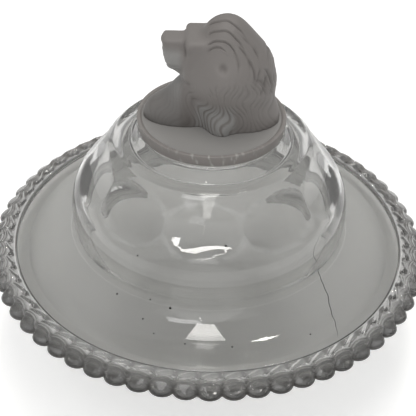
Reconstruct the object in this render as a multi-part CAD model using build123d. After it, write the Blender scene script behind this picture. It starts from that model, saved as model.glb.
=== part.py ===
from build123d import *
import math
import os

# A covered compote in pressed glass: a low-footed bowl with a beaded brim, and a lift-off
# cover with ten thumbprints round its shoulder and a lion's head for a knob.
# Millimetres. The origin is the middle of the foot's underside, +Z is up and the lion
# looks along -X.

# Overall sizes
overall_diameter = 216.0
brim_height = 62.0

# Foot
foot_diameter = 100.0
foot_height = 17.0
foot_edge = 4.0
foot_recess_depth = 2.5
foot_ring_width = 7.0
foot_curve_rise = 0.22

# Joining wafer and the pads that it joins
pad_diameter = 40.0
wafer_thickness = 3.0
wafer_overhang = 1.5

# Bowl
bowl_wall = 4.5
bowl_floor = 5.5
ledge_width = 6.5
ledge_thickness = 1.2

# Beaded brim
bead_count = 62
bead_turn = 1.44
bead_radius = 5.5
bead_band_width = 12.4
bead_thickness = 6.2
bead_drop = 2.4
bead_facet_width = 5.5
bead_undercut = 1.2
bead_undercut_height = 1.4
bead_overlap = 1.02

# Cover
cover_clearance = 0.4
seat_gap = 0.3
cover_brim_thickness = 4.0
cover_wall = 4.5
cover_edge_rounding = 0.8
waist_diameter = 129.6
bulge_swell = 1.9
cove_width = 13.0
cove_height = 9.0
cove_hollow = 2.7
bulge_height = 23.5
knee_height = 31.0
knee_diameter = 130.2
shoulder_height = 58.5
shoulder_diameter = 92.0
slope_crown = 1.4
shoulder_rounding = 1.6
shoulder_lean = 0.5
neck_diameter = 77.0
neck_height = 6.6
neck_wall = 4.8

# Thumbprints
thumbprint_count = 10
thumbprint_turn = -2.0
thumbprint_depth = 2.6
thumbprint_hollow_radius = 45.0

# Plinth under the head
plinth_diameter = 69.2
plinth_base_diameter = 68.2
plinth_thickness = 5.4
plinth_rim_width = 1.6
plinth_dish = 0.8

# Lion's head: the middle along X, the middle's height above the plinth's floor, and the half
# length, half width and half height of each egg shape that makes up its mass
mane_back = (7.6, 19.8, 21.2, 17.0, 26.0)
mane_side = (6.0, 24.2, 15.5, 20.0, 17.0)
crown = (6.2, 34.4, 13.4, 12.6, 16.6)
mane_foot = (12.0, 0.0, 19.3, 14.2, 18.2)
side_locks = (4.5, 0.0, 9.5, 17.4, 17.2)
chest = (-13.0, 0.0, 16.6, 9.8, 14.2)
throat = (-8.5, 9.7, 11.5, 9.8, 13.0)
nose = (-21.1, 38.8, 1.8, 3.8, 1.6)
chin = (-16.4, 29.2, 4.2, 5.6, 3.6)

# Its face, snout and bridge of the nose: front and back along X, then underside, top, width
# and the rounding of the edges
face_block = (-12.8, 3.8, 22.8, 43.2, 21.0, 2.6)
snout_block = (-21.8, -5.0, 26.9, 38.7, 16.8, 3.6)
bridge_block = (-21.8, -4.0, 35.6, 40.6, 8.8, 1.2)

# Places worked out from those sizes
foot_radius = foot_diameter / 2
pad_radius = pad_diameter / 2
bowl_base = foot_height + wafer_thickness
brim_radius = overall_diameter / 2
lip_radius = brim_radius - bead_band_width
ledge_height = brim_height + ledge_thickness
cover_radius = lip_radius - cover_clearance
cover_base = ledge_height + seat_gap
cover_top = cover_base + cover_brim_thickness
waist_radius = waist_diameter / 2
knee_radius = knee_diameter / 2
shoulder_radius = shoulder_diameter / 2
neck_radius = neck_diameter / 2
step_height = cover_top + shoulder_height
plinth_base = step_height + neck_height
plinth_top = plinth_base + plinth_thickness
head_base = plinth_top - plinth_dish


def turned(*lines):
    """A solid turned about the Z axis from the lines of a closed outline in the XZ plane."""
    edges = [edge for line in lines for edge in line.edges()]
    return revolve(Plane.XZ * make_face(edges), Axis.Z)


def bowed(start, end, bow):
    """An arc between two points of an outline that bows to its left by the given height."""
    run, rise = end[0] - start[0], end[1] - start[1]
    length = math.hypot(run, rise)
    middle = (
        (start[0] + end[0]) / 2 - bow * rise / length,
        (start[1] + end[1]) / 2 + bow * run / length,
    )
    return ThreePointArc(start, middle, end)


def make_foot():
    """The low collared foot: a flat standing ring and a skirt that sweeps up to the pad."""
    ring_inside = foot_radius - foot_ring_width
    skirt_start = (foot_radius, foot_edge)
    skirt_end = (pad_radius, foot_height)
    skirt_length = math.hypot(foot_radius - pad_radius, foot_height - foot_edge)
    return turned(
        Polyline(
            (0, foot_height),
            (0, foot_recess_depth),
            (ring_inside - foot_recess_depth, foot_recess_depth),
            (ring_inside, 0),
            (foot_radius, 0),
            skirt_start,
        ),
        bowed(skirt_start, skirt_end, foot_curve_rise * skirt_length),
        Line(skirt_end, (0, foot_height)),
    )


def make_wafer():
    """The disc of glass that joined the hot bowl to its foot, with a rounded edge."""
    radius = pad_radius + wafer_overhang
    half = wafer_thickness / 2
    low, high = foot_height, bowl_base
    return turned(
        Polyline((radius - half, high), (0, high), (0, low), (radius - half, low)),
        ThreePointArc((radius - half, low), (radius, low + half), (radius - half, high)),
    )


def bead_outline():
    """The brim seen from above: one round lobe for each bead, meeting in sharp valleys."""
    centre_radius = brim_radius - bead_radius
    half_pitch = math.pi / bead_count
    half_chord = centre_radius * math.sin(half_pitch)
    lobe_radius = max(bead_radius, half_chord * bead_overlap)
    valley = centre_radius * math.cos(half_pitch) + math.sqrt(lobe_radius**2 - half_chord**2)
    start = math.radians(bead_turn - 90)
    arcs = []
    for bead in range(bead_count):
        middle = start + 2 * math.pi * bead / bead_count
        before, after = middle - half_pitch, middle + half_pitch
        arcs.append(
            ThreePointArc(
                (valley * math.cos(before), valley * math.sin(before)),
                (brim_radius * math.cos(middle), brim_radius * math.sin(middle)),
                (valley * math.cos(after), valley * math.sin(after)),
            )
        )
    return make_face(arcs)


def make_bowl():
    """The well on its pad, the ledge that carries the cover, and the beaded brim."""
    well_radius = lip_radius - ledge_width
    wall_radius = well_radius + bowl_wall
    brim_top = brim_height + bead_thickness
    facet_start = brim_radius - bead_facet_width
    blank = turned(
        Line((0, bowl_base), (pad_radius, bowl_base)),
        EllipticalCenterArc(
            (pad_radius, brim_height),
            wall_radius - pad_radius,
            brim_height - bowl_base,
            start_angle=270,
            arc_size=90,
        ),
        Polyline(
            (wall_radius, brim_height),
            (brim_radius - bead_undercut, brim_height),
            (brim_radius, brim_height + bead_undercut_height),
            (brim_radius, brim_top - bead_drop),
            (facet_start, brim_top),
            (lip_radius, brim_top),
            (lip_radius, ledge_height),
            (well_radius, ledge_height),
        ),
        EllipticalCenterArc(
            (pad_radius, ledge_height),
            well_radius - pad_radius,
            ledge_height - bowl_base - bowl_floor,
            start_angle=270,
            arc_size=90,
        ),
        Line((pad_radius, bowl_base + bowl_floor), (0, bowl_base + bowl_floor)),
        Line((0, bowl_base + bowl_floor), (0, bowl_base)),
    )
    scallops = extrude(Pos(0, 0, bowl_base) * bead_outline(), brim_top - bowl_base)
    return blank & scallops


def cover_profile(inset):
    """The points of the dome's outline, moved in by a wall: waist, bulge, knee and shoulder."""
    waist = (waist_radius - inset, cover_top + cove_height)
    bulge = (waist_radius + bulge_swell - inset, cover_top + bulge_height)
    knee = (knee_radius - inset, cover_top + knee_height)
    drop = inset * (shoulder_height - knee_height) / math.hypot(
        shoulder_height - knee_height, knee_radius - shoulder_radius
    )
    shoulder = (shoulder_radius - drop, step_height - inset)
    return waist, bulge, knee, shoulder


def make_cover():
    """The clear cover: flat brim, cove, bulging wall, sloped shoulder, step and neck."""
    waist, bulge, knee, shoulder = cover_profile(0)
    in_waist, in_bulge, in_knee, in_shoulder = cover_profile(cover_wall)
    crease = (waist_radius + cove_width, cover_top)
    in_crease = (waist_radius + cove_width - cover_wall, cover_base)
    in_step = (neck_radius - neck_wall, in_shoulder[1])
    in_neck = (plinth_base_diameter / 2 - neck_wall, plinth_base - neck_wall)
    in_ceiling = (0, plinth_base - neck_wall)
    rounding = cover_edge_rounding
    step_edge = (shoulder_radius - shoulder_rounding, step_height)
    slope_edge = (shoulder_radius + shoulder_lean, step_height - shoulder_rounding)
    shell = turned(
        Line((0, plinth_base), (plinth_base_diameter / 2, plinth_base)),
        Line((plinth_base_diameter / 2, plinth_base), (neck_radius, step_height)),
        Line((neck_radius, step_height), step_edge),
        bowed(step_edge, slope_edge, shoulder_lean),
        bowed(slope_edge, knee, slope_crown),
        ThreePointArc(knee, bulge, waist),
        bowed(waist, crease, -cove_hollow),
        Polyline(
            crease,
            (cover_radius - rounding, cover_top),
            (cover_radius, cover_top - rounding),
            (cover_radius, cover_base),
            in_crease,
        ),
        bowed(in_crease, in_waist, cove_hollow),
        ThreePointArc(in_waist, in_bulge, in_knee),
        bowed(in_knee, in_shoulder, -slope_crown),
        Polyline(in_shoulder, in_step, in_neck, in_ceiling, (0, plinth_base)),
    )
    for print_number in range(thumbprint_count):
        shell -= thumbprint_cutter(print_number)
    return shell


def thumbprint_cutter(print_number):
    """A level cylinder that scoops one shallow oval out of the sloped shoulder."""
    _, _, knee, shoulder = cover_profile(0)
    run, rise = knee[0] - shoulder[0], shoulder[1] - knee[1]
    length = math.hypot(run, rise)
    out, up = rise / length, run / length
    stand_off = slope_crown + thumbprint_hollow_radius - thumbprint_depth
    reach = (knee[0] + shoulder[0]) / 2 + out * stand_off
    height = (knee[1] + shoulder[1]) / 2 + up * stand_off
    turn = thumbprint_turn - 90 + 360 * print_number / thumbprint_count
    scoop = Rot(90, 0, 0) * Cylinder(thumbprint_hollow_radius, knee_radius)
    return Rot(0, 0, turn) * Pos(reach, 0, height) * scoop


def make_plinth():
    """The round plinth: a clear side that widens upwards and a dished floor in a thin rim."""
    top_radius = plinth_diameter / 2
    floor_radius = top_radius - plinth_rim_width
    return turned(
        Polyline(
            (0, head_base),
            (0, plinth_base),
            (plinth_base_diameter / 2, plinth_base),
            (top_radius, plinth_top),
            (floor_radius, plinth_top),
            (floor_radius - plinth_dish, head_base),
            (0, head_base),
        )
    )


def egg(middle, height, half_length, half_width, half_height):
    """An egg shape: a ball stretched to its three half sizes."""
    ball = scale(Sphere(1), by=(half_length, half_width, half_height))
    return Pos(middle, 0, head_base + height) * ball


def block(front, back, underside, top, width, rounding):
    """A block with its front and long edges rounded."""
    middle = Pos((front + back) / 2, 0, head_base + (underside + top) / 2)
    solid = middle * Box(back - front, width, top - underside)
    rear = solid.faces().sort_by(Axis.X)[-1]
    edges = solid.edges() - rear.edges()
    return fillet(edges, rounding)


def make_head():
    """The lion's head: eggs for mane, crown, chest and chin, blocks for face and snout."""
    masses = [mane_back, mane_side, crown, mane_foot, side_locks, chest, throat, nose, chin]
    head = egg(*masses[0])
    for mass in masses[1:]:
        head += egg(*mass)
    for piece in (face_block, snout_block, bridge_block):
        head += block(*piece)
    return split(head, Plane.XY.offset(head_base), keep=Keep.TOP)


parts = {
    "foot": make_foot,
    "joining_wafer": make_wafer,
    "bowl": make_bowl,
    "cover": make_cover,
    "finial_plinth": make_plinth,
    "lion_head": make_head,
}

os.makedirs("parts", exist_ok=True)
for node, make in parts.items():
    solid = make()
    export_step(solid, f"parts/{node}.step")
    print(f"{node}: {solid.volume:.0f} cubic millimetres")
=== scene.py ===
"""Covered compote in pressed glass with a lion's-head knob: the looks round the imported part.

Every piece is a smooth closed skin worked out by formula in millimetres and laid over the
fixed frame. Foot, wafer and bowl are melted together, so one skin stands for the three and
rides with the dish; the cover, its plinth, the lion's head, a crack and a few seeds in the
glass ride with the cover. An outline is a list of radius and height, in mm.
"""

from __future__ import annotations

import logging
import math
from dataclasses import dataclass, field
from enum import Enum
from functools import cached_property

import bpy
import numpy as np
from mathutils import Matrix

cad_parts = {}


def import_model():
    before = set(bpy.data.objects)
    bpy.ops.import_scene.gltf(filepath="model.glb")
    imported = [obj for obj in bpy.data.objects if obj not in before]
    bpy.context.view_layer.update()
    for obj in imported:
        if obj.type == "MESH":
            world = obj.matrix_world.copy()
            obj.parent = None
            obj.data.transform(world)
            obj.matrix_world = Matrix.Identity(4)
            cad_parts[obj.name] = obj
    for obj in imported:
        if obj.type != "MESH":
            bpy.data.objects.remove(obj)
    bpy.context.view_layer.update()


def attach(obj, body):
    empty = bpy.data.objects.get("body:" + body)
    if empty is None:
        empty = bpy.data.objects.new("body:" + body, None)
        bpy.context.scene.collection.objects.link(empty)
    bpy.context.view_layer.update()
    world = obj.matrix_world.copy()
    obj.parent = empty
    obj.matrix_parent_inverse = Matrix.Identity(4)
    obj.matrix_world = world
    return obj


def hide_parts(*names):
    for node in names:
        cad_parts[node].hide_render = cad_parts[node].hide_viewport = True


Array = np.ndarray
Material = bpy.types.Material
Pair = tuple[float, float]
Triple = tuple[float, float, float]

MM = 0.001
LOG = logging.getLogger("compote")


class Body(Enum):
    """The two loose parts of the compote."""

    DISH = "bowl_on_foot"
    COVER = "covered_top"


class Slot(Enum):
    """The two finishes that the record names."""

    CLEAR = "clear_glass"
    FROSTED = "frosted_glass"


# Small formulas that several pieces share


def eased(value: Array, low: float, high: float) -> Array:
    """Steps from 0 at low to 1 at high, up or down the scale, by 3t^2 - 2t^3 of the share t."""
    share = np.clip((np.asarray(value, float) - low) / (high - low), 0.0, 1.0)
    return share * share * (3.0 - 2.0 * share)


def mound(distance: Array, width: float) -> Array:
    """A bell from 0 to 1: e to the minus half of (distance / width) squared."""
    return np.exp(-0.5 * (np.asarray(distance, float) / width) ** 2)


def drift(a: Array, b: Array, reach: float, start: float) -> Array:
    """A slow wander over a plane, from about -1 to 1.

    It is the sum of five waves over 2.2. Wave k runs along the direction 2.4k + start, its
    length is the reach over 1 + k / 3, and it starts at k times start.

    Args:
        a: first coordinate in mm.
        b: second coordinate in mm.
        reach: about half the length of the slowest wave, in mm.
        start: a number that makes each wander another one.
    Returns:
        The wander at each point.
    """
    total = np.zeros(np.broadcast(a, b).shape)
    for k in range(5):
        heading = 2.4 * k + start
        way = a * math.cos(heading) + b * math.sin(heading)
        total += np.sin(way * (1 + k / 3) * math.pi / reach + k * start)
    return total / 2.2


def way_along(line: Array) -> Array:
    """The way from a line's first point to each of its points, in mm."""
    return np.concatenate([[0.0], np.cumsum(np.hypot(*np.diff(line, axis=0).T))])


@dataclass
class FirePolish:
    """Turns the corner points of an outline into a line whose corners are melted round.

    Attributes:
        corners: the outline's corners, from the axis to the axis.
        softness: spread in mm of the bell that the line is averaged with.
        count: how many points the finished line has.
        close_up: how much denser the points lie where the line bends.
        busy: lowest and highest radius and lowest height of a stretch with fine relief,
            where the points lie close together too.
        samples: at how many points the line is averaged.
    """

    corners: Array
    softness: float
    count: int
    close_up: float = 10.0
    busy: Triple | None = None
    samples: int = 6000

    def weights(self) -> Array:
        """The share of each corner in each finished point.

        The line runs straight from corner to corner, is averaged along its length with a
        bell, and is sampled so that the spacing falls as the bend rises.

        Returns:
            A matrix of finished points by corners.
        """
        corners = np.asarray(self.corners, float)
        at = way_along(corners)
        fine = np.linspace(0.0, at[-1], self.samples)
        step = fine[1]
        hats = np.stack([np.interp(fine, at, row) for row in np.eye(len(at))], axis=1)
        reach = int(4.0 * self.softness / step) + 1
        bell = mound(np.arange(-reach, reach + 1) * step, self.softness)
        bell /= bell.sum()
        before = 2.0 * hats[0] - hats[reach:0:-1]
        after = 2.0 * hats[-1] - hats[-2 : -reach - 2 : -1]
        padded = np.concatenate([before, hats, after])
        soft = np.stack([np.convolve(column, bell, "valid") for column in padded.T], axis=1)
        line = soft @ corners
        heading = np.unwrap(np.arctan2(*np.gradient(line, axis=0).T[::-1]))
        bend = np.abs(np.gradient(heading, fine))
        density = 1.0 + self.close_up * np.minimum(bend, 1.5)
        if self.busy:
            low, high, least = self.busy
            close = (line[:, 0] > low) & (line[:, 0] < high) & (line[:, 1] > least)
            density = np.where(close, np.maximum(density, 1.4 * self.close_up), density)
        travel = np.concatenate([[0.0], np.cumsum(0.5 * (density[1:] + density[:-1]))])
        wanted = np.interp(np.linspace(0.0, travel[-1], self.count), travel, fine)
        return np.stack([np.interp(wanted, fine, column) for column in soft.T], axis=1)

    def line(self) -> Array:
        """The finished line, as points of radius and height in mm."""
        return self.weights() @ np.asarray(self.corners, float)


@dataclass
class Skin:
    """A closed surface laid out as rings between two poles.

    Attributes:
        name: the piece's name.
        rings: points in mm, by ring, by place around, by axis; the first and the last ring
            have shrunk to the poles.
        marks: named numbers for each point, for the finish to read.
    """

    name: str
    rings: Array
    marks: dict[str, Array] = field(default_factory=dict)

    def faces(self) -> tuple[Array, Array]:
        """The corner lists of the skin, counted so that every face looks outward.

        Returns:
            The quads between the rings, and the triangles round the two poles.
        """
        rows, around = self.rings.shape[0] - 2, self.rings.shape[1]
        grid = np.arange(rows * around).reshape(rows, around)
        beside = np.roll(grid, -1, axis=1)
        quads = np.stack([grid[:-1], grid[1:], beside[1:], beside[:-1]], axis=-1).reshape(-1, 4)
        top, bottom = np.full(around, rows * around), np.full(around, rows * around + 1)
        upper = np.stack([top, grid[0], beside[0]], axis=-1)
        lower = np.stack([bottom, beside[-1], grid[-1]], axis=-1)
        return quads, np.concatenate([upper, lower])

    def build(self, material: Material) -> bpy.types.Object:
        """Makes the Blender object, at the origin and unturned.

        Args:
            material: the finish of the whole skin.
        Returns:
            The new object.
        """
        body = self.rings[1:-1].reshape(-1, 3)
        points = np.concatenate([body, self.rings[[0, -1]].mean(axis=1)]) * MM
        quads, caps = self.faces()
        loops = np.concatenate([quads.ravel(), caps.ravel()]).astype(np.int32)
        sizes = np.concatenate([np.full(len(quads), 4), np.full(len(caps), 3)])
        starts = np.concatenate([[0], np.cumsum(sizes)[:-1]]).astype(np.int32)
        mesh = bpy.data.meshes.new(self.name)
        mesh.vertices.add(len(points))
        mesh.vertices.foreach_set("co", points.astype(np.float32).ravel())
        mesh.loops.add(len(loops))
        mesh.loops.foreach_set("vertex_index", loops)
        mesh.polygons.add(len(starts))
        mesh.polygons.foreach_set("loop_start", starts)
        mesh.polygons.foreach_set("use_smooth", np.ones(len(starts), bool))
        mesh.update(calc_edges=True)
        for mark, values in self.marks.items():
            flat = np.concatenate([values[1:-1].ravel(), values[[0, -1]].mean(axis=1)])
            layer = mesh.attributes.new(mark, "FLOAT", "POINT")
            layer.data.foreach_set("value", flat.astype(np.float32))
        mesh.materials.append(material)
        return shown(self.name, mesh)


def shown(name: str, data: bpy.types.ID) -> bpy.types.Object:
    """Puts a mesh, lamp or camera into the scene.

    Args:
        name: the object's name.
        data: what it shows.
    Returns:
        The new object.
    """
    made = bpy.data.objects.new(name, data)
    bpy.context.scene.collection.objects.link(made)
    return made


def spun(radius: Array, height: Array, angle: Array) -> Array:
    """Points at a radius and a height, turned by an angle in radians about the Z axis."""
    x, y = radius * np.cos(angle), radius * np.sin(angle)
    return np.stack([x, y, np.broadcast_to(height, x.shape)], axis=-1)


def turned(line: Array, around: int) -> Array:
    """A line turned about the Z axis into rings of points, each with so many around."""
    return spun(line[:, :1], line[:, 1:], 2.0 * math.pi * np.arange(around) / around)


# Finishes


def principled(name: str) -> tuple[Material, bpy.types.Node]:
    """A new material with one principled shader.

    Args:
        name: the material's name.
    Returns:
        The material and its shader node.
    """
    made = bpy.data.materials.new(name)
    made.use_nodes = True
    return made, next(n for n in made.node_tree.nodes if n.type == "BSDF_PRINCIPLED")


def painted(name: str, body: Triple, **shades: Triple) -> tuple[Material, bpy.types.Node]:
    """A principled material whose body colour is mixed, mark by mark, towards other colours.

    Args:
        name: the material's name.
        body: colour where nothing is marked, in linear light.
        shades: the colour that each mark leads to; a later one lies over an earlier one.
    Returns:
        The material and its shader node.
    """
    made, shader = principled(name)
    nodes, links = made.node_tree.nodes, made.node_tree.links
    colour = None
    for mark, shade in shades.items():
        read = nodes.new("ShaderNodeAttribute")
        read.attribute_name = mark
        mix = nodes.new("ShaderNodeMix")
        mix.data_type = "RGBA"
        mix.inputs["A"].default_value = (*body, 1.0)
        mix.inputs["B"].default_value = (*shade, 1.0)
        links.new(read.outputs["Fac"], mix.inputs["Factor"])
        if colour is not None:
            links.new(colour, mix.inputs["A"])
        colour = mix.outputs["Result"]
    links.new(colour, shader.inputs["Base Color"])
    return made, shader


@dataclass(frozen=True)
class ClearGlass:
    """Fire-polished clear glass with a slight grey cast.

    It is darkened by painted shade where so marked, and blurred and veiled where marked
    frosted; on the thumbprints' outlines that veil is a painted highlight.

    Attributes:
        tint: colour that the light keeps on its way through one wall, in linear light.
        smoke: colour of full painted shade, which darkens the glass where marked.
        veil: colour of the frosted places and of the painted highlights.
        haze: share of the light that the clear places scatter, as old glass does.
        satin: how blurred the frosted and highlit places are; the rest is clear.
        held: share of the light that the frosted and highlit places hold back and scatter.
        ior: how strongly it bends light.
    """

    name: str
    tint: Triple
    smoke: Triple
    veil: Triple
    haze: float = 0.07
    satin: float = 0.55
    held: float = 0.6
    ior: float = 1.5

    def material(self) -> Material:
        """Makes the material, which reads the painted shade and the frosting and highlight marks.

        Returns:
            A see-through principled material.
        """
        # Mixes in the frosted colour, a painted highlight on the thumbprints' outlines, then the
        # painted shade over it.
        made, shader = painted(self.name, self.tint, satin=self.veil, smoke=self.smoke)
        nodes, links = made.node_tree.nodes, made.node_tree.links
        soft = nodes.new("ShaderNodeAttribute")
        soft.attribute_name = "satin"
        ranges = {
            "Roughness": (0.0, self.satin),
            "Transmission Weight": (1.0 - self.haze, 1.0 - self.held),
        }
        for socket, (plain, frosted) in ranges.items():
            level = nodes.new("ShaderNodeMapRange")
            level.inputs["To Min"].default_value = plain
            level.inputs["To Max"].default_value = frosted
            links.new(soft.outputs["Fac"], level.inputs["Value"])
            links.new(level.outputs["Result"], shader.inputs[socket])
        shader.inputs["IOR"].default_value = self.ior
        return made


@dataclass(frozen=True)
class SatinGlass:
    """Acid-frosted glass: a grey body with painted shade and painted light where marked.

    Attributes:
        body: colour of the smooth body, in linear light.
        groove: colour of full painted shade, as deep in the grooves.
        pale: colour of full painted light and painted highlights.
        roughness: how blurred its gloss is.
        ior: how strongly its surface mirrors.
        grain: depth of the fine frosting in metres.
        grain_scale: how fine the frosting is, in grains per metre.
        grain_strength: how strongly it tilts the light.
    """

    name: str
    body: Triple
    groove: Triple
    pale: Triple
    roughness: float = 0.55
    ior: float = 1.5
    grain: float = 0.00004
    grain_scale: float = 1500.0
    grain_strength: float = 0.35

    def material(self) -> Material:
        """Makes the material, which reads the painted shade and painted light marks.

        Returns:
            A satin principled material.
        """
        # Mixes in painted light, then painted shade over it.
        made, shader = painted(self.name, self.body, pale=self.pale, groove=self.groove)
        nodes, links = made.node_tree.nodes, made.node_tree.links
        shader.inputs["Roughness"].default_value = self.roughness
        shader.inputs["IOR"].default_value = self.ior
        where = nodes.new("ShaderNodeTexCoord")
        noise = nodes.new("ShaderNodeTexNoise")
        noise.inputs["Scale"].default_value = self.grain_scale
        bump = nodes.new("ShaderNodeBump")
        bump.inputs["Strength"].default_value = self.grain_strength
        bump.inputs["Distance"].default_value = self.grain
        links.new(where.outputs["Object"], noise.inputs["Vector"])
        links.new(noise.outputs["Fac"], bump.inputs["Height"])
        links.new(bump.outputs["Normal"], shader.inputs["Normal"])
        return made


@dataclass(frozen=True)
class PlainFinish:
    """An even, dull finish, for the crack and the seeds; its colour is in linear light."""

    name: str
    colour: Triple
    roughness: float = 0.6

    def material(self) -> Material:
        """Makes the material.

        Returns:
            A plain principled material.
        """
        made, shader = principled(self.name)
        shader.inputs["Base Color"].default_value = (*self.colour, 1.0)
        shader.inputs["Roughness"].default_value = self.roughness
        return made


# Clear glass: the dark mixing colour is painted shade; the pale one frosts the well and seat and is a
# painted highlight on the thumbprints' outlines.
CLEAR = ClearGlass(
    "clear_pressed_glass",
    tint=(0.82, 0.82, 0.81),
    smoke=(0.030, 0.026, 0.023),
    veil=(0.92, 0.92, 0.90),
)
# Lion's head: the dark mixing colour is painted shade, the light one painted light and painted
# highlights.
FROSTED = SatinGlass(
    "frosted_lion_glass",
    body=(0.224, 0.208, 0.198),
    groove=(0.118, 0.107, 0.100),
    pale=(0.292, 0.288, 0.280),
)
# Plinth: the dark mixing colour is painted shade on side and rim, the light one painted glints on the
# side and painted light underneath.
PLINTH = SatinGlass(
    "frosted_plinth_glass",
    body=(0.31, 0.302, 0.292),
    groove=(0.255, 0.237, 0.225),
    pale=(0.90, 0.89, 0.86),
    roughness=0.45,
)
CRACK = PlainFinish("crack_in_the_glass", (0.05, 0.047, 0.045))
SEED = PlainFinish("seeds_in_the_glass", (0.03, 0.028, 0.026))


def place(made: bpy.types.Object, body: Body, slot: Slot, *nodes: str) -> None:
    """Lets a piece ride and takes the solids that it stands for off show.

    Args:
        made: the piece.
        body: the loose part that it moves with.
        slot: the record's finish; not used.
        nodes: the solids that it stands for.
    """
    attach(made, body.value)
    if nodes:
        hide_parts(*nodes)
    LOG.info("%s: %d points on %s", made.name, len(made.data.vertices), body.value)


# The dish


@dataclass
class Foot:
    """The low collared foot and the wafer above it, as the lower end of the dish's outline.

    Attributes:
        edge: height of the skirt's lower edge.
        ring: width of the flat ring that the foot stands on.
        rise: how far the skirt is bowed in, as a share of its length.
        overhang: how far the wafer stands out past the pad.
    """

    radius: float = 50.0
    edge: float = 4.0
    height: float = 17.0
    recess: float = 2.5
    ring: float = 7.0
    rise: float = 0.22
    pad: float = 20.0
    wafer: float = 3.0
    overhang: float = 1.5

    def outline(self) -> list[Pair]:
        """The outline from the bowl's pad down over wafer and skirt to the recess's middle.

        The wafer's edge is a half circle. The skirt is an arc: a straight run from pad to
        edge, bowed by rise times its length with the parabola 4t(1 - t).

        Returns:
            Corner points as radius and height in mm.
        """
        half = self.wafer / 2.0
        angle = np.linspace(math.pi / 2, -math.pi / 2, 7)
        middle = self.pad + self.overhang - half
        edge = [middle + half * np.cos(angle), self.height + half + half * np.sin(angle)]
        share = np.linspace(0.0, 1.0, 17)
        run, drop = self.radius - self.pad, self.height - self.edge
        bow = self.rise * 4.0 * share * (1.0 - share)
        skirt = [self.pad + run * share - bow * drop, self.height - drop * share - bow * run]
        inside = self.radius - self.ring
        ends = [(self.radius, 0.0), (inside, 0.0), (inside - self.recess, self.recess)]
        return [*zip(*edge), *zip(*skirt), *ends, (0.0, self.recess)]


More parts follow.
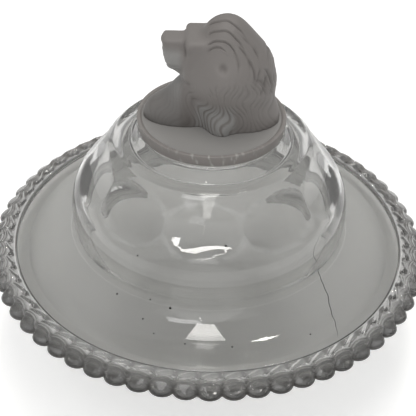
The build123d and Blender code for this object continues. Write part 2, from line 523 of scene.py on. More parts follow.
@dataclass
class Dish:
    """The well, the ledge under the cover and the brim of oval beads, melted to the foot.

    Attributes:
        pad, base, floor: radius, lower height and upper height of the middle of the bowl.
        well, wall: radius of the bowl's inside at the ledge and of its outside at the brim.
        brim, rise: height of the brim's underside and of its top above that.
        turn: how far the first bead stands from the front, in degrees.
        bead_start: where a bead's inner edge starts, at its middle.
        fold_radius: where the slanting folds between lip and beads start.
        bead_smoke to band_smoke: how much painted shade the beads get at the front, how much
        less away from it and more on their outer edges and in their valleys, and how much
        painted shade lip, dents and band get.
    """

    foot: Foot = field(default_factory=Foot)
    pad: float = 20.0
    base: float = 20.0
    floor: float = 25.5
    well: float = 89.1
    wall: float = 93.6
    lip: float = 95.6
    ledge: float = 63.2
    brim: float = 62.0
    rise: float = 6.2
    outer: float = 108.0
    beads: int = 62
    turn: float = 1.44
    bead_radius: float = 5.9
    bead_start: float = 101.9
    dent_radius: float = 98.3
    dent_width: float = 1.05
    dent_depth: float = 1.5
    fold_radius: float = 100.4
    fold_width: float = 0.58
    fold_height: float = 1.3
    bead_smoke: float = 0.64
    away_smoke: float = -0.1
    edge_smoke: float = 0.36
    valley_smoke: float = 0.3
    lip_smoke: float = 0.45
    dent_smoke: float = 0.75
    band_smoke: float = 0.6
    per_bead: int = 12
    rings: int = 132
    softness: float = 0.33

    def around(self) -> tuple[Array, Array]:
        """The places around the brim.

        Returns:
            The angle of each place, and how far it is from its bead's middle as a share of
            half a pitch, from -1 to 1.
        """
        count = self.beads * self.per_bead
        step = 2.0 * math.pi / count
        index = np.arange(count)
        across = ((index + self.per_bead / 2) % self.per_bead) / (self.per_bead / 2) - 1.0
        return math.radians(self.turn - 90.0) + step * index, across

    def bowl_line(self, rim: float, level: float, bottom: float) -> list[Pair]:
        """A quarter of an ellipse from the pad, at bottom, up to the rim, at level."""
        return [
            (self.pad + (rim - self.pad) * math.cos(a), level + (level - bottom) * math.sin(a))
            for a in np.linspace(-math.pi / 2, 0.0, 15)
        ]

    def corners(self, side: Array) -> Array:
        """The outline's corners at each place around.

        The bead's outer edge is an arc of bead_radius, so the radius there is its middle's
        plus the root of bead_radius squared less the distance from the bead's middle squared;
        its inner edge moves out with the square of that distance.

        Args:
            side: the distance from the bead's middle as a share of half a pitch.
        Returns:
            Points by corner, by place around, as radius and height in mm.
        """
        centre = self.outer - self.bead_radius
        half = centre * math.sin(math.pi / self.beads)
        rim = centre + np.sqrt(self.bead_radius**2 - (half * side) ** 2)
        inner = self.bead_start + 1.7 * side**2
        width = rim - inner
        droop = 1.5 * side**4
        top = self.brim + self.rise
        rows = [
            (0.0, self.floor),
            *self.bowl_line(self.well, self.ledge, self.floor),
            (self.lip, self.ledge),
            (self.lip, top - 0.4),
            (self.lip + 0.5, top),
            (98.4, top - 0.1),
            (inner - 1.9, (top - 0.1) - 0.3 * side**2),
            (inner - 1.35, (top + 0.55) - 0.4 * side**2),
            (inner - 0.75, (top - 0.15) - 0.5 * side**2),
            (inner - 0.1, (top + 0.35) - 0.6 * side**2),
            (inner + 0.10 * width, (top - 0.9) - droop),
            (inner + 0.45 * width, (top - 1.9) - droop),
            (inner + 0.80 * width, (top - 3.3) - droop),
            (inner + 0.93 * width, (top - 4.1) - 0.6 * droop),
            (rim, (top - 5.0) - 0.2 * droop),
            (rim - 0.1, self.brim + 0.6),
            (rim - 0.15 * width, (self.brim + 0.05) + 0.5 * side**4),
            (inner + 0.45 * width, self.brim),
            (99.0, self.brim),
            (95.5, self.brim),
            *reversed(self.bowl_line(self.wall, self.brim, self.base)),
            *self.foot.outline(),
        ]
        return np.stack([np.stack(np.broadcast_arrays(*row, side)[:2], axis=-1) for row in rows])

    def dent(self, radius: Array, across: Array) -> Array:
        """The round hollow in the band at each valley between two beads, 1 in its middle."""
        valley = (1.0 - np.abs(across)) * (math.pi * self.outer / self.beads)
        return mound(np.hypot(valley, radius - self.dent_radius), self.dent_width)

    def pleats(self, radius: Array, across: Array) -> Array:
        """How far the band between lip and beads rises at each point.

        A dent sits at each valley, and a slanting fold runs from the valley towards the
        middle of the next bead.

        Args:
            radius: distance from the axis in mm.
            across: place across the bead from -1 to 1.
        Returns:
            The rise in mm.
        """
        fold_at = self.fold_radius - 3.0 * (across + 1.0) / 1.4
        fold = mound(radius - fold_at, self.fold_width)
        fold = fold * eased(across, 0.7, 0.3) * eased(across, -1.0, -0.85)
        return -self.dent_depth * self.dent(radius, across) + self.fold_height * fold

    def skin(self) -> Skin:
        """The whole dish as one closed skin, with its places around set out bead by bead.

        Beads, lip and band get painted shade. At the front only the dents of the band do,
        and away from the front the whole band. The well's inside is marked frosted.

        Returns:
            The skin.
        """
        angle, across = self.around()
        corners = self.corners(np.abs(across))
        busy = (self.lip + 0.8, 101.5, self.brim + 5.0)
        polish = FirePolish(corners.mean(axis=1), self.softness, self.rings, 14.0, busy)
        line = np.einsum("sk,kac->sac", polish.weights(), corners)
        radius, height = line[..., 0], line[..., 1]
        band = eased(height, self.brim + 5.2, self.brim + 5.8) * eased(radius, 96.0, 97.0)
        height = height + band * self.pleats(radius, across)
        rings = spun(radius, height, angle)
        top = self.brim + self.rise
        # Painted shade: the beads, darkest on their lower outer edges and in their valleys, the lip,
        # the band's dents, and the whole band away from the front.
        drop = eased(height, top - 3.2, top - 4.6) * eased(radius, 100.0, 102.5)
        valley = eased(np.abs(across), 0.72, 0.98) * eased(radius, 101.0, 102.5)
        beads = eased(height, self.brim - 1.5, self.brim) * eased(radius, 99.0, 101.5)
        lip = mound(radius - self.lip - 0.3, 0.6) * eased(height, self.ledge + 0.5, top - 1.0)
        away = eased(np.sin(angle), -0.97, -0.55)
        bead = self.bead_smoke + self.away_smoke * away
        bead = bead + self.edge_smoke * drop + self.valley_smoke * valley
        dent = self.dent_smoke * self.dent(radius, across) * (1.0 - self.band_smoke * away)
        between = band * (dent + self.band_smoke * away) * (1.0 - beads)
        smoke = np.clip(beads * bead + self.lip_smoke * lip + between, 0.0, 1.0)
        number = np.arange(len(line))[:, None]
        inside = number < int(np.argmax(radius.mean(axis=1)))
        satin = inside * eased(radius, self.lip + 0.4, self.lip + 0.1)
        return Skin("dish_glass", rings, {"smoke": smoke, "satin": satin})

    def build(self, glass: Material) -> None:
        """Makes the dish, which stands for bowl, wafer and foot."""
        made = self.skin().build(glass)
        place(made, Body.DISH, Slot.CLEAR, "bowl", "joining_wafer", "foot")


# The cover


@dataclass
class DomedCover:
    """The cover's glass: flat brim, cove, bulging wall, sloped shoulder with ten thumbprints.

    Attributes:
        waist, bulge, knee, shoulder: turning points of the outside, from the cove up.
        seat: edge of the round seat under the plinth.
        hollow: the inside's turning points under the neck.
        crown: how far the sloped shoulder is bowed out.
        print_turn: how far the first thumbprint stands from the front, in degrees.
        print_hollow: radius of a thumbprint's curve along the slope.
        print_edge: how far its edge is melted round.
    """

    base: float = 63.5
    top: float = 67.5
    radius: float = 95.2
    waist: Pair = (65.8, 79.5)
    bulge: Pair = (66.7, 91.0)
    knee: Pair = (65.1, 98.5)
    shoulder: Pair = (46.0, 126.0)
    neck: float = 38.5
    seat: Pair = (34.1, 132.55)
    hollow: tuple[Pair, ...] = ((33.7, 121.5), (29.3, 127.8), (0.0, 127.8))
    crown: float = 1.4
    wall: float = 4.5
    cove_width: float = 19.0
    prints: int = 10
    print_turn: float = -2.0
    print_depth: float = 2.6
    print_hollow: float = 45.0
    print_edge: float = 0.05
    softness: float = 0.55
    close_up: float = 8.0
    around: int = 480
    rings: int = 200

    @staticmethod
    def bowed(start: Array, end: Array, bow: float, count: int) -> Array:
        """A shallow arc: the straight run moved to its left by bow times 4t(1 - t).

        Args:
            start: first point, as radius and height in mm.
            end: last point.
            bow: how far the middle moves to the left, in mm.
            count: how many points to give.
        Returns:
            The points, both ends included.
        """
        share = np.linspace(0.0, 1.0, count)[:, None]
        a, b = np.array(start), np.array(end)
        along = (b - a) / np.linalg.norm(b - a)
        left = np.array([-along[1], along[0]])
        return a + (b - a) * share + left * bow * 4.0 * share * (1.0 - share)

    @cached_property
    def barrel_curve(self) -> Array:
        """The wall's radius as the parabola in the height through knee, bulge and waist."""
        known = np.array([self.knee, self.bulge, self.waist])
        return np.polyfit(known[:, 1], known[:, 0], 2)

    @cached_property
    def out(self) -> Array:
        """The direction out of the slope between shoulder and knee, one long."""
        slope = np.array(self.knee) - np.array(self.shoulder)
        return np.array([-slope[1], slope[0]]) / np.hypot(*slope)

    @cached_property
    def outer_line(self) -> Array:
        """The polished outline of the outside, from the seat's middle to the edge."""
        line = FirePolish(self.outline(), self.softness, 500, self.close_up).line()
        return line[: int(np.argmax(line[:, 0])) + 1]

    def coved(self, start: Pair, level: float) -> Array:
        """The cove that runs out into the brim, as a part of an ellipse.

        It starts along the wall, which leans in there, and ends level: its radius grows as
        cos(first) - cos(u) and its height falls as 1 - sin(u).

        Args:
            start: where the wall ends, as radius and height in mm.
            level: the height that it runs out to.
        Returns:
            Points as radius and height in mm, from the wall outwards.
        """
        lean = float(np.polyval(np.polyder(self.barrel_curve), self.waist[1]))
        first = -math.atan(lean * (start[1] - level) / self.cove_width)
        u = np.linspace(first, math.pi / 2, 25)
        drop = (start[1] - level) * (1.0 - np.sin(u)) / (1.0 - math.sin(first))
        run = self.cove_width * (math.cos(first) - np.cos(u)) / math.cos(first)
        return np.stack([start[0] + run, level + drop], axis=1)

    def barrel(self, inset: float) -> Array:
        """The bulging wall from knee down to waist, moved in by the inset."""
        height = np.linspace(self.knee[1], self.waist[1], 17)
        return np.stack([np.polyval(self.barrel_curve, height) - inset, height], axis=1)

    def outline(self) -> Array:
        """The cover's outline from the middle of its neck over the brim and up inside.

        Returns:
            Corner points as radius and height in mm.
        """
        ledge = self.shoulder[1]
        inner_top = (self.shoulder[0] - self.out[0] * self.wall, ledge - self.wall)
        inner_knee = (self.knee[0] - self.wall, self.knee[1])
        inner_waist = (self.waist[0] - self.wall, self.waist[1])
        return np.concatenate(
            [
                [(0.0, self.seat[1]), self.seat, (self.neck, ledge), (self.shoulder[0] - 0.4, ledge)],
                self.bowed(self.shoulder, self.knee, self.crown, 15)[1:-1],
                self.barrel(0.0),
                self.coved(self.waist, self.top)[1:],
                [(self.radius, self.top), (self.radius, self.base)],
                self.coved(inner_waist, self.base)[::-1],
                self.barrel(self.wall)[::-1][1:],
                self.bowed(inner_knee, inner_top, -self.crown, 15)[1:-1],
                [(inner_top[0] - 0.5, inner_top[1]), *self.hollow],
            ]
        )

    def sunk(self, points: Array) -> Array:
        """How deep each point would lie under its thumbprint, in mm, negative outside it.

        A thumbprint is a hollow cylinder laid level across the slope: its depth is
        print_depth less the square of the way along the slope, less the square of the way
        across it, each over twice its own radius of curve.

        Args:
            points: places on the outer glass in mm.
        Returns:
            Depth in mm for each point.
        """
        radius, height = np.hypot(points[..., 0], points[..., 1]), points[..., 2]
        angle = np.degrees(np.arctan2(points[..., 1], points[..., 0]))
        pitch = 360.0 / self.prints
        off = (angle - self.print_turn + 90.0 + pitch / 2) % pitch - pitch / 2
        knee, run = np.array(self.knee), np.array(self.shoulder) - np.array(self.knee)
        length = np.hypot(*run)
        up = ((radius - knee[0]) * run[0] + (height - knee[1]) * run[1]) / length - length / 2
        own = length**2 / (8.0 * self.crown)
        across = np.radians(off) * radius
        hub = radius * length / run[1]
        curve = up**2 / 2 * (1 / self.print_hollow + 1 / own)
        return self.print_depth - curve - across**2 / (2 * hub)

    def pressed(self, points: Array, where: Array) -> Array:
        """The points with the thumbprints pressed in.

        Each sinks against the slope's outward direction by e ln(1 + e^(sunk / e)), where e
        is print_edge.

        Args:
            points: places on the unpressed glass in mm.
            where: true on the slope.
        Returns:
            The places in mm.
        """
        depth = self.print_edge * np.logaddexp(0.0, self.sunk(points) / self.print_edge) * where
        radius = np.maximum(np.hypot(points[..., 0], points[..., 1]), 1e-6)
        share = 1.0 - depth * self.out[0] / radius
        level = points[..., 2] - depth * self.out[1]
        return np.stack([points[..., 0] * share, points[..., 1] * share, level], axis=-1)

    def touch(self, along: Array, azimuth: Array) -> Array:
        """Points on the outer glass.

        Args:
            along: the way down the outline from the seat's middle, in mm.
            azimuth: where each point stands, in degrees from the front towards the right.
        Returns:
            Points in mm.
        """
        way = way_along(self.outer_line)
        radius, height = (np.interp(along, way, column) for column in self.outer_line.T)
        turn = np.radians(azimuth - 90.0)
        points = spun(radius, height, turn)
        on_slope = (height > self.knee[1] + 0.5) & (height < self.shoulder[1] - 0.5)
        return self.pressed(points, on_slope)

    def way_to(self, radius: float, height: float) -> float:
        """How far down the outside the nearest point to a place lies.

        Args:
            radius: the place's distance from the axis in mm.
            height: its height in mm.
        Returns:
            The way from the seat's middle in mm.
        """
        line = self.outer_line
        nearest = np.argmin(np.hypot(line[:, 0] - radius, line[:, 1] - height))
        return float(way_along(line)[nearest])

    def skin(self) -> Skin:
        """The cover as one closed skin with the thumbprints pressed in.

        The edge and the walls above the waist get painted shade; the prints' outlines get
        painted highlights, and the seat under the plinth is frosted, through the same mark.

        Returns:
            The skin.
        """
        line = FirePolish(self.outline(), self.softness, self.rings, self.close_up).line()
        smooth = turned(line, self.around)
        chord = self.shoulder[0] + (self.shoulder[1] - line[:, 1]) * self.out[1] / self.out[0]
        outside = (line[:, 0] > chord - 1.2) & (line[:, 1] > self.bulge[1] - 2)
        outside = (outside & (line[:, 1] < self.shoulder[1] - 0.05))[:, None]
        sunk = np.where(outside, self.sunk(smooth), -9.0)
        rings = self.pressed(smooth, outside)
        radius, height = np.hypot(rings[..., 0], rings[..., 1]), rings[..., 2]
        # Painted shade on the edge and on the walls above the waist; painted highlights along the
        # thumbprints' outlines; the seat under the plinth is frosted.
        edge = eased(radius, self.radius - 0.6, self.radius - 0.2)
        thick = eased(height, self.waist[1], self.knee[1])
        seat = eased(height, self.seat[1] - 0.3, self.seat[1] - 0.1)
        seat = seat * eased(radius, self.seat[0], self.seat[0] - 0.5)
        satin = np.maximum(seat, 0.33 * mound(sunk - 0.05, 0.2))
        return Skin("cover_glass", rings, {"smoke": 0.6 * edge + 0.12 * thick, "satin": satin})

    def build(self, glass: Material) -> None:
        """Makes the cover."""
        place(self.skin().build(glass), Body.COVER, Slot.CLEAR, "cover")


@dataclass
class Crack:
    """The hair crack that runs from the shoulder down the wall and out over the brim.

    Attributes:
        cover: the glass that it runs in.
        knots: the crack's turning points as radius, azimuth and height; the azimuth counts in
            degrees from the front towards the right.
    """

    cover: DomedCover
    knots: tuple[Triple, ...] = (
        (63.3, 53.9, 101.2),
        (65.4, 47.2, 97.0),
        (66.1, 46.3, 93.9),
        (65.6, 53.6, 74.8),
        (72.8, 50.6, 69.5),
        (82.5, 44.6, 67.5),
        (89.8, 41.6, 67.5),
        (93.5, 40.0, 67.5),
    )
    width: float = 0.22
    thickness: float = 0.06
    steps: int = 160
    around: int = 8

    def build(self, finish: Material) -> None:
        """Makes the crack, a flat thread half sunk in the glass.

        The thread's middle follows the glass between the knots with a small double wave. Its
        section is an ellipse, width across and thickness up, that narrows to both ends with
        the root of a sine.

        Args:
            finish: the crack's finish.
        """
        at = np.array([self.cover.way_to(radius, height) for radius, _, height in self.knots])
        azimuth = np.array([knot[1] for knot in self.knots])
        share = np.linspace(0.0, 1.0, self.steps)
        along = at[0] + (at[-1] - at[0]) * share
        wave = 0.25 * np.sin(23.0 * share + 0.6) + 0.12 * np.sin(61.0 * share)
        turn = np.interp(along, at, azimuth) + wave
        middle = self.cover.touch(along, turn)
        ahead = np.gradient(middle, axis=0)
        ahead /= np.linalg.norm(ahead, axis=1, keepdims=True)
        beside = self.cover.touch(along, turn + 0.3) - self.cover.touch(along, turn - 0.3)
        up = np.cross(ahead, beside)
        up /= np.linalg.norm(up, axis=1, keepdims=True)
        side = np.cross(up, ahead)
        angle = 2.0 * math.pi * np.arange(self.around)[:, None] / self.around
        taper = np.sqrt(np.sin(math.pi * share).clip(0.0))[:, None, None]
        section = side[:, None] * np.cos(angle) * self.width
        section = section + up[:, None] * np.sin(angle) * self.thickness
        skin = Skin("crack_line", middle[:, None] + section * taper)
        place(skin.build(finish), Body.COVER, Slot.CLEAR)


@dataclass
class Seeds:
    """Small dark seeds that lie in the skin of the cover's glass.

    Attributes:
        cover: the glass that they lie in.
        spots: radius, azimuth, height and size of each; the azimuth counts in degrees from
            the front towards the right.
    """

    cover: DomedCover
    spots: tuple[tuple[float, ...], ...] = (
        (65.6, -14.1, 74.8, 1.12),
        (58.6, 7.7, 108.1, 1.01),
        (71.9, -23.2, 69.8, 0.78),
        (79.6, -6.4, 67.5, 0.78),
        (80.7, 8.6, 67.5, 0.9),
        (77.0, -17.4, 67.8, 0.67),
        (64.3, -28.6, 99.6, 0.78),
        (64.8, -22.7, 76.7, 0.67),
        (67.0, -37.4, 73.0, 0.9),
        (84.6, 33.9, 67.5, 0.78),
    )

    def build(self, finish: Material) -> None:
        """Makes each seed as a small ball, cut into rings between two poles.

        Args:
            finish: the seeds' finish.
        """
        down = np.linspace(0.0, math.pi, 9)
        ball = turned(np.stack([np.sin(down), np.cos(down)], axis=1), 12)
        for number, (radius, azimuth, height, size) in enumerate(self.spots, start=1):
            along = np.array([self.cover.way_to(radius, height)])
            middle = self.cover.touch(along, np.array([azimuth]))
            skin = Skin(f"seed_{number}", middle[0] + ball * size / 2.0)
            place(skin.build(finish), Body.COVER, Slot.CLEAR)


@dataclass
class Plinth:
    """The round plinth with a dished, frosted floor in a thin rim.

    Attributes:
        streaks_at: where the painted glints of its side gather, in radians from +X.
        streaks_spread: how widely they do.
    """

    base: float = 132.6
    top: float = 138.0
    base_radius: float = 34.1
    radius: float = 34.6
    rim: float = 1.6
    dish: float = 0.8
    softness: float = 0.28
    rings: int = 90
    around: int = 300
    streaks_at: float = 1.52 * math.pi
    streaks_spread: float = 0.32

    def build(self, frosted: Material) -> None:
        """Makes the plinth.

        Its side and rim get painted shade, so they come out dark. Painted glints break the
        side, most of them at the front, and the underside gets painted light.

        Args:
            frosted: the frosted finish.
        """
        floor, inner = self.top - self.dish, self.radius - self.rim
        corners = [
            (0.0, floor),
            (inner - self.dish, floor),
            (inner, self.top),
            (self.radius, self.top),
            (self.base_radius, self.base),
            (0.0, self.base),
        ]
        line = FirePolish(np.array(corners), self.softness, self.rings).line()
        side = eased(line[:, 0], inner - 0.9, inner - 0.1)[:, None]
        level = line[:, 1:]
        turn = 2.0 * math.pi * np.arange(self.around)[None, :] / self.around
        run = self.radius * (turn + 0.4 * np.sin(turn))
        wander = drift(run, 0.35 * level, 2.2, 0.8) + 0.6 * drift(run, 0.2 * level, 0.9, 2.2)
        # Painted shade on side and rim, broken by painted glints that gather at the front; painted
        # light on the underside.
        front = mound(turn - self.streaks_at, self.streaks_spread)
        streak = eased(wander, 0.5, 1.3) * (0.25 + 0.75 * front)
        under = eased(level, self.base + 0.5, self.base + 0.1)
        marks = {
            "groove": side * (1.0 - under) * (1.0 - 0.45 * streak),
            "pale": np.maximum(side * streak * (1.0 - under), under),
        }
        skin = Skin("plinth_glass", turned(line, self.around), marks)
        place(skin.build(frosted), Body.COVER, Slot.FROSTED, "finial_plinth")


# The lion's head


@dataclass(frozen=True)
class Form:
    """A rounded form of the head: an ellipsoid, or a box with rounded edges.

    Attributes:
        middle: its middle in mm, from the middle of the plinth's floor.
        half: its three half lengths in mm.
        melt: the fillet's width in mm where it meets the forms before it.
        rounding: the radius of a box's edges in mm; an ellipsoid has none.
    """

    middle: Triple
    half: Triple
    melt: float = 0.0
    rounding: float | None = None

    def distance(self, p: Array) -> Array:
        """The distance to the form; for an ellipsoid near enough k(k - 1) over its gradient.

        Args:
            p: points in mm.
        Returns:
            Distances in mm, negative inside.
        """
        q, half = p - np.array(self.middle), np.array(self.half)
        if self.rounding is None:
            k = np.linalg.norm(q / half, axis=-1)
            return k * (k - 1.0) / np.maximum(np.linalg.norm(q / half**2, axis=-1), 1e-9)
        q = np.abs(q) - (half - self.rounding)
        outside = np.linalg.norm(np.maximum(q, 0.0), axis=-1)
        return outside + np.minimum(q.max(axis=-1), 0.0) - self.rounding


def joined(a: Array, b: Array, melt: float) -> Array:
    """The soft union of two distances: the smaller, less a fillet melt wide where they meet."""
    share = np.clip(0.5 + 0.5 * (b - a) / melt, 0.0, 1.0)
    return b * (1.0 - share) + a * share - melt * share * (1.0 - share)


def melted(p: Array, forms: tuple[Form, ...]) -> Array:
    """The distance to several forms melted into one, in their order.

    Args:
        p: points in mm.
        forms: the forms.
    Returns:
        Distances in mm, negative inside.
    """
    shape = forms[0].distance(p)
    for form in forms[1:]:
        shape = joined(shape, form.distance(p), form.melt)
    return shape


@dataclass
class LionHead:
    """The frosted lion's head, as the distance of its skin from one inner point.

    The head is a soft union of rounded forms. Along each direction from the inner point the
    skin lies where that union's distance falls to nought; the mane's grooves move it in.

    Attributes:
        trunk: skull, neck and mane.
        chest: the chest under the muzzle.
        face: the brow and the cheeks.
        snout: muzzle, bridge, nose, upper lip, lower lip and jaw.
        melts: the fillets' widths in mm where chest, face and snout meet the rest.
        arches: of each arched furrow its height above the ear, the place of its top along
            the head, how fast it falls behind and where it ends, in mm.
        curls: of each curl behind the ear its middle's place along the head and above the
            ear, its radius in mm, and the lowest and highest angle of its furrow in degrees.
        lock_pitch, hair_pitch: how far apart the wide and the fine furrows are, behind the
            ear and below it, in mm.
        eye, nostril: their places out from the head's middle and up it; the mouth's line
            starts at a place along the head and up it.
        furrow_shade to hem_shine: how much painted shade furrows, hollows, chest and smooth skin
        get, and how much painted highlight the smooth locks at the mane's hem get.
    """

    floor: float = 138.3
    sole: float = -1.1
    middle: Triple = (4.0, 0.0, 25.0)
    ear: Pair = (4.4, 33.2)
    trunk: tuple[Form, ...] = (
        Form((7.6, 0.0, 18.6), (21.2, 17.0, 26.0)),
        Form((6.0, 0.0, 23.1), (15.5, 20.0, 17.0), 4.0),
        Form((5.8, 0.0, 33.7), (13.0, 12.6, 16.6), 3.5),
        Form((12.0, 0.0, 0.0), (19.3, 14.2, 17.0), 4.0),
        Form((4.5, 0.0, 1.0), (9.5, 17.6, 15.0), 3.0),
    )
    chest: tuple[Form, ...] = (
        Form((-13.5, 0.0, 0.0), (18.0, 10.4, 13.0)),
        Form((-8.5, 0.0, 8.5), (11.5, 9.8, 13.0), 5.0),
    )
    face: tuple[Form, ...] = (Form((-4.5, 0.0, 31.8), (8.3, 10.5, 10.2), rounding=2.6),)
    snout: tuple[Form, ...] = (
        Form((-13.2, 0.0, 31.9), (8.2, 8.4, 5.6), rounding=4.0),
        Form((-13.3, 0.0, 37.7), (9.2, 5.2, 2.6), 3.6, rounding=1.3),
        Form((-21.3, 0.0, 38.7), (2.0, 4.2, 1.8), 0.8),
        Form((-19.9, 0.0, 32.8), (2.6, 6.4, 3.6), 1.0),
        Form((-16.6, 0.0, 27.6), (3.8, 5.6, 3.4), 1.4),
        Form((-11.5, 0.0, 26.0), (5.5, 7.5, 5.0), 2.5),
    )
    melts: Triple = (2.5, 2.5, 1.6)
    arches: tuple[tuple[float, ...], ...] = (
        (8.9, 2.3, 0.24, 5.4),
        (12.4, 2.9, 0.145, 10.5),
        (18.1, 2.9, 0.09, 13.0),
        (23.9, 3.5, 0.083, 13.6),
    )
    curls: tuple[tuple[float, ...], ...] = (
        (9.2, 8.2, 14.9, -10.0, 70.0),
        (10.5, -3.8, 7.8, -30.0, 60.0),
        (19.6, -6.6, 6.6, -40.0, 75.0),
        (18.1, -11.4, 5.8, -10.0, 85.0),
        (11.0, -4.5, 12.2, -45.0, 15.0),
    )
    arch_width: float = 0.48
    curl_width: float = 0.42
    curl_stretch: float = 1.27
    broadest: float = 12.6
    brow_lean: float = 0.785
    lock_pitch: Pair = (4.0, 1.8)
    hair_pitch: Pair = (2.0, 1.15)
    furrow_depth: float = 0.85
    eye: Pair = (7.5, 37.0)
    nostril: Pair = (2.0, 36.8)
    mouth: Pair = (-22.0, 29.0)
    furrow_shade: float = 0.9
    hollow_shade: float = 0.5
    chest_shade: float = 0.7
    skin_shade: float = -0.1
    hem_shine: float = 1.3
    rows: int = 236
    around: int = 400
    reach: float = 62.0

    def form(self, p: Array) -> Array:
        """The distance to the smooth head.

        Args:
            p: points in mm from the middle of the plinth's floor.
        Returns:
            Distances in mm, negative inside.
        """
        shape = melted(p, self.trunk)
        for forms, melt in zip((self.chest, self.face, self.snout), self.melts):
            shape = joined(shape, melted(p, forms), melt)
        return shape

    @staticmethod
    def furrow(across: Array, pitch: float, sharp: float) -> Array:
        """Furrows: 1 less |sin(pi across / pitch)| to the power sharp, low for narrow ones."""
        return 1.0 - np.abs(np.sin(math.pi * across / pitch)) ** sharp

    def brow_locks(self, x: Array, y: Array, z: Array) -> Array:
        """The arched furrows that part the locks between brow and ear.

        How far up a point lies is its height above the ear plus brow_lean times the way in
        from the head's broadest side. In that measure furrow k is an arch: it falls from its
        top with the square of the way along, faster behind, and fades out at both ends. Behind
        the ear each curl adds a furrow along part of a circle, with that measure over
        curl_stretch.

        Args:
            x: places along the head in mm.
            y: places out from its middle in mm.
            z: places up the head in mm.
        Returns:
            0 on a lock and up to 1 in a furrow.
        """
        deep = np.zeros_like(x)
        up = z - self.ear[1] + self.brow_lean * (self.broadest - y)
        for k, (top, middle, bend, rear) in enumerate(self.arches):
            way = x - middle
            height = top - np.where(way < 0.0, 0.07, bend) * way**2
            ends = eased(x, -3.4, -1.4) * eased(x, rear + 1.5, rear - 3.0)
            off = up - height + 0.25 * np.sin(0.9 * way + k)
            deep = np.maximum(deep, mound(off, self.arch_width) * ends)
        for along, above, radius, least, most in self.curls:
            across, high = x - along, up / self.curl_stretch - above
            angle = np.degrees(np.arctan2(high, across))
            ends = eased(angle, least, least + 20.0) * eased(angle, most, most - 25.0)
            off = np.hypot(across, high) - radius + 0.3 * np.sin(angle / 14.0)
            deep = np.maximum(deep, 0.85 * mound(off, self.curl_width) * ends)
        return deep

    def mane(self, p: Array) -> Array:
        """The mane's locks at each point of the skin.

        Over the brow they are arched, behind the ear the furrows follow circles about it, by
        the length of (x from the ear, height above it or nought), and below they hang down
        and sway. Wide furrows part the locks and fade in and out; fine ones comb the hair.

        Args:
            p: points in mm from the middle of the plinth's floor.
        Returns:
            How deep each point lies, from 0 to about 1.2.
        """
        x, y, z = p[..., 0], np.abs(p[..., 1]), p[..., 2]
        dx, dz = x - self.ear[0], z - self.ear[1]
        over = 0.5 * (dz + np.hypot(dz, 2.0))
        ringed = np.hypot(dx, over) + 1.1 * np.sin(z / 3.9 + 0.16 * x)
        ringed = ringed + 0.5 * np.sin(x / 4.1 - 0.2 * z) + 0.05 * y
        sway = 1.5 * np.sin(z / 3.2 + 0.24 * x) + 0.8 * np.sin(z / 5.6 - 0.33 * x + 1.7)
        hung = dx / (1.0 + 0.012 * np.maximum(-dz, 0.0)) + sway
        low = eased(z, 30.0, 20.0)
        rear = (1.0 - low) * eased(x, 7.0, 13.0)
        fade = np.clip(0.65 + 0.7 * drift(x, z, 8.0, 2.3), 0.1, 1.0)
        wide = rear * fade * self.furrow(ringed - 3.1, self.lock_pitch[0], 0.6)
        wide = wide + low * (0.35 + 0.65 * fade) * self.furrow(hung, self.lock_pitch[1], 0.7)
        fine = rear * 0.35 * self.furrow(ringed - 1.0, self.hair_pitch[0], 1.0)
        fine = fine + low * (0.9 - 0.5 * fade) * self.furrow(hung + 0.5, self.hair_pitch[1], 1.0)
        face = eased(x, -2.6, -0.4) * eased(z, 13.0, 21.0)
        beard = eased(z, 24.0, 13.0) * (0.3 + 0.7 * eased(x, -16.0, -8.0))
        take = np.maximum(face, beard) * eased(np.hypot(dx, dz), 3.5, 7.0)
        brow = self.brow_locks(x, y, z) * (1.0 - low * eased(x, 14.0, 10.0))
        return take * np.clip(0.8 * wide + 0.45 * fine, 0.0, 1.2) + 0.9 * brow

    def details(self, p: Array) -> Array:
        """Small hollows of the face: the ear's pit, the eyes, the nostrils and the mouth.

        Args:
            p: points in mm from the middle of the plinth's floor.
        Returns:
            How far each point sinks, in mm.
        """
        x, y, z = p[..., 0], np.abs(p[..., 1]), p[..., 2]
        pit = 1.2 * mound(np.hypot(x - self.ear[0], z - self.ear[1]), 1.3) * (y > 5)
        eye = 1.1 * mound(np.hypot(y - self.eye[0], z - self.eye[1]), 1.9) * eased(x, -7.0, -10.0)
        nose = 0.5 * mound(np.hypot(y - self.nostril[0], z - self.nostril[1]), 0.8)
        below = z - self.mouth[1] - 0.05 * (x - self.mouth[0])
        mouth = 0.6 * mound(below, 0.5) * eased(x, -13.0, -16.0)
        return pit + eye + nose * eased(x, -20.5, -22.0) + mouth

    def smooth(self) -> tuple[Array, Array]:
        """The head without its furrows, found by stepping out and then halving.

        Returns:
            The directions from the inner point, and how far the skin lies along each in mm.
        """
        down = np.linspace(0.0, math.pi, self.rows)[:, None]
        turn = 2.0 * math.pi * np.arange(self.around)[None, :] / self.around
        way = spun(np.sin(down), np.cos(down), turn)
        middle = np.array(self.middle)
        near = np.zeros(way.shape[:2])
        steps = np.linspace(4.0, self.reach, 60)
        for step in steps:
            near = np.where(self.form(middle + way * step) < 0.0, step, near)
        far = near + self.reach / (len(steps) - 1)
        for _ in range(12):
            half = 0.5 * (near + far)
            inside = self.form(middle + way * half[..., None]) < 0.0
            near, far = np.where(inside, half, near), np.where(inside, far, half)
        return way, near

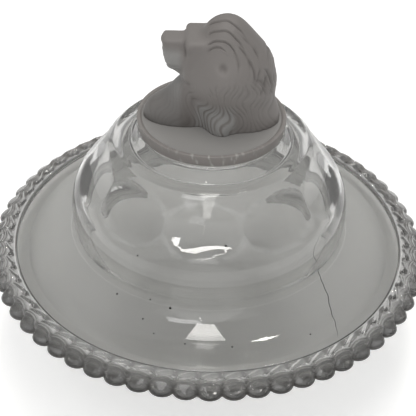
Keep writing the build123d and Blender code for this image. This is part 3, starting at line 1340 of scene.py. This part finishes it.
    def skin(self) -> Skin:
        """The head as one closed skin.

        Returns:
            The skin, with its marks of painted shade and of painted light.
        """
        way, near = self.smooth()
        middle = np.array(self.middle)
        p = middle + way * near[..., None]
        furrows = self.mane(p)
        finer = 1.0 - 0.35 * eased(p[..., 2], 26.0, 18.0)
        depth = self.furrow_depth * finer * (furrows - 0.25) * eased(furrows, 0.0, 0.05)
        fall = np.maximum(-way[..., 2], 1e-6)
        length = np.minimum(near - (depth + self.details(p)), (middle[2] - self.sole) / fall)
        p = middle + way * length[..., None]
        p[..., 2] = np.maximum(p[..., 2], self.sole)
        x, z = p[..., 0], p[..., 2]
        # Painted shade in furrows, hollows and on the chest; painted light on the muzzle and painted
        # highlights on the smooth locks at the hem.
        chest = eased(x, -4.0, -12.0) * eased(z, 22.0, 8.0)
        groove = self.furrow_shade * finer * furrows + self.hollow_shade * self.details(p)
        groove = groove + self.chest_shade * chest + self.skin_shade
        muzzle = eased(x, -12.5, -16.0) * eased(z, 38.5, 35.0)
        hem = eased(z, 17.0, 9.0) * eased(x, -9.0, -5.0) * eased(x, 12.0, 8.0)
        pale = muzzle + self.hem_shine * hem * eased(furrows, 0.5, 0.15)
        marks = {"groove": np.clip(groove, 0.0, 1.0), "pale": np.clip(pale, 0.0, 1.0)}
        return Skin("lion_head_glass", p + np.array([0.0, 0.0, self.floor]), marks)

    def build(self, frosted: Material) -> None:
        """Makes the head."""
        place(self.skin().build(frosted), Body.COVER, Slot.FROSTED, "lion_head")


# The room


@dataclass(frozen=True)
class Lamp:
    """A soft panel that looks at the compote.

    Attributes:
        azimuth: where it stands, in degrees from +Y towards +X.
        elevation: how high it stands, in degrees.
        distance: how far away it stands, in metres.
        size: its width and height in metres.
        aim: the place that it looks at and is measured from, in metres.
        roll: how far it is turned in its own plane, in degrees.
    """

    name: str
    azimuth: float
    elevation: float
    distance: float
    size: Pair
    watts: float
    colour: Triple = (1.0, 1.0, 1.0)
    aim: Triple = (0.0, 0.0, 0.08)
    roll: float = 0.0

    def hang(self) -> None:
        """Makes the lamp."""
        data = bpy.data.lights.new(self.name, "AREA")
        data.shape = "RECTANGLE"
        data.size, data.size_y = self.size
        data.energy = self.watts
        data.color = self.colour
        a, e, r = (math.radians(v) for v in (self.azimuth, self.elevation, self.roll))
        away = np.array([math.sin(a) * math.cos(e), math.cos(a) * math.cos(e), math.sin(e)])
        level = np.array([math.cos(a), -math.sin(a), 0.0])
        side = level * math.cos(r) - np.cross(away, level) * math.sin(r)
        turn = Matrix(np.stack([side, np.cross(away, side), away], axis=1).tolist()).to_4x4()
        turn.translation = (away * self.distance + np.array(self.aim)).tolist()
        lamp = shown(self.name, data)
        lamp.matrix_world = turn


@dataclass
class Studio:
    """A pale floor, an even grey room, soft panels and the camera.

    Attributes:
        floor_half: half the floor's width in metres.
        floor_lift: how far the floor is lifted towards white where it is seen.
        bounces: how many turns a ray of light may take.
        lens: the camera's focal length over its sensor's width.
        camera_right, camera_up: the directions to the right and up in its picture.
    """

    floor_colour: Triple = (0.93, 0.93, 0.925)
    floor_half: float = 4.0
    floor_lift: float = 0.43
    room_strength: float = 0.43
    bounces: int = 28
    lens: float = 1067.7 / 416.0
    camera_at: Triple = (0.0, -0.414511, 0.408094)
    camera_right: Triple = (0.9995765, 0.01866856, 0.02232275)
    camera_up: Triple = (-0.02908606, 0.61705632, 0.78638127)
    lamps: tuple[Lamp, ...] = (
        Lamp("window_high", 4.7, 45.2, 1.6, (0.035, 0.03), 0.5, (1.0, 0.99, 0.95)),
        Lamp(
            "window_right", 17.0, 61.0, 1.6, (0.10, 0.12), 0.8, (1.0, 0.99, 0.93),
            (0.025, -0.075, 0.068),
        ),
        Lamp("window_above", 180.0, 86.0, 1.6, (0.25, 1.2), 6.8, (1.0, 0.98, 0.95)),
        Lamp(
            "window_front", -176.35, 46.0, 1.6, (0.011, 0.48), 0.3, (1.0, 0.98, 0.95),
            (-0.021, -0.058, 0.107), 3.4,
        ),
        Lamp("back_panel", 0.0, 50.0, 2.0, (3.0, 2.0), 1.2),
        Lamp("front_panel", -158.0, 60.0, 1.8, (0.55, 0.45), 2.6),
        Lamp("front_fill", 180.0, 38.0, 1.9, (2.4, 1.4), 3.8),
    )

    def floor(self) -> None:
        """Makes the floor, a plain square that is lifted towards white where it is seen."""
        half = self.floor_half
        corners = [(-half, -half, 0), (half, -half, 0), (half, half, 0), (-half, half, 0)]
        mesh = bpy.data.meshes.new("floor")
        mesh.from_pydata(corners, [], [(0, 1, 2, 3)])
        made, shader = principled("pale_floor")
        shader.inputs["Base Color"].default_value = (*self.floor_colour, 1.0)
        shader.inputs["Roughness"].default_value = 0.9
        shader.inputs["Specular IOR Level"].default_value = 0.1
        shader.inputs["Emission Color"].default_value = (1.0, 1.0, 1.0, 1.0)
        nodes, links = made.node_tree.nodes, made.node_tree.links
        path = nodes.new("ShaderNodeLightPath")
        seen = path.outputs["Is Camera Ray"]
        for ray in ("Is Glossy Ray", "Is Transmission Ray"):
            either = nodes.new("ShaderNodeMath")
            either.operation = "MAXIMUM"
            links.new(seen, either.inputs[0])
            links.new(path.outputs[ray], either.inputs[1])
            seen = either.outputs["Value"]
        lift = nodes.new("ShaderNodeMath")
        lift.operation = "MULTIPLY"
        lift.inputs[1].default_value = self.floor_lift
        links.new(seen, lift.inputs[0])
        links.new(lift.outputs["Value"], shader.inputs["Emission Strength"])
        mesh.materials.append(made)
        shown("floor", mesh)

    def room(self) -> None:
        """Makes the world, the same soft grey all round."""
        world = bpy.data.worlds.new("room")
        world.use_nodes = True
        back = world.node_tree.nodes["Background"]
        back.inputs["Color"].default_value = (1.0, 1.0, 1.0, 1.0)
        back.inputs["Strength"].default_value = self.room_strength
        bpy.context.scene.world = world

    def camera(self) -> None:
        """Sets the camera as in the photograph: 540 mm from the brim and 40 degrees up."""
        data = bpy.data.cameras.new("camera")
        data.sensor_width = 36.0
        data.lens = self.lens * data.sensor_width
        data.clip_start, data.clip_end = 0.01, 30.0
        right, up = np.array(self.camera_right), np.array(self.camera_up)
        pose = Matrix(np.stack([right, up, np.cross(right, up)], axis=1).tolist()).to_4x4()
        pose.translation = self.camera_at
        camera = shown("camera", data)
        camera.matrix_world = pose
        bpy.context.scene.camera = camera

    def build(self) -> None:
        """Makes the whole room."""
        bpy.context.scene.view_settings.view_transform = "Standard"
        paths = bpy.context.scene.cycles
        paths.max_bounces = paths.transmission_bounces = self.bounces
        paths.glossy_bounces = self.bounces // 2
        self.floor()
        self.room()
        for lamp in self.lamps:
            lamp.hang()
        self.camera()


def main() -> None:
    """Dresses the compote piece by piece."""
    logging.basicConfig(level=logging.INFO, format="%(name)s: %(message)s")
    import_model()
    clear = CLEAR.material()
    cover = DomedCover()
    Dish().build(clear)
    cover.build(clear)
    Crack(cover).build(CRACK.material())
    Seeds(cover).build(SEED.material())
    Plinth().build(PLINTH.material())
    LionHead().build(FROSTED.material())
    Studio().build()


if __name__ == "__main__":
    main()
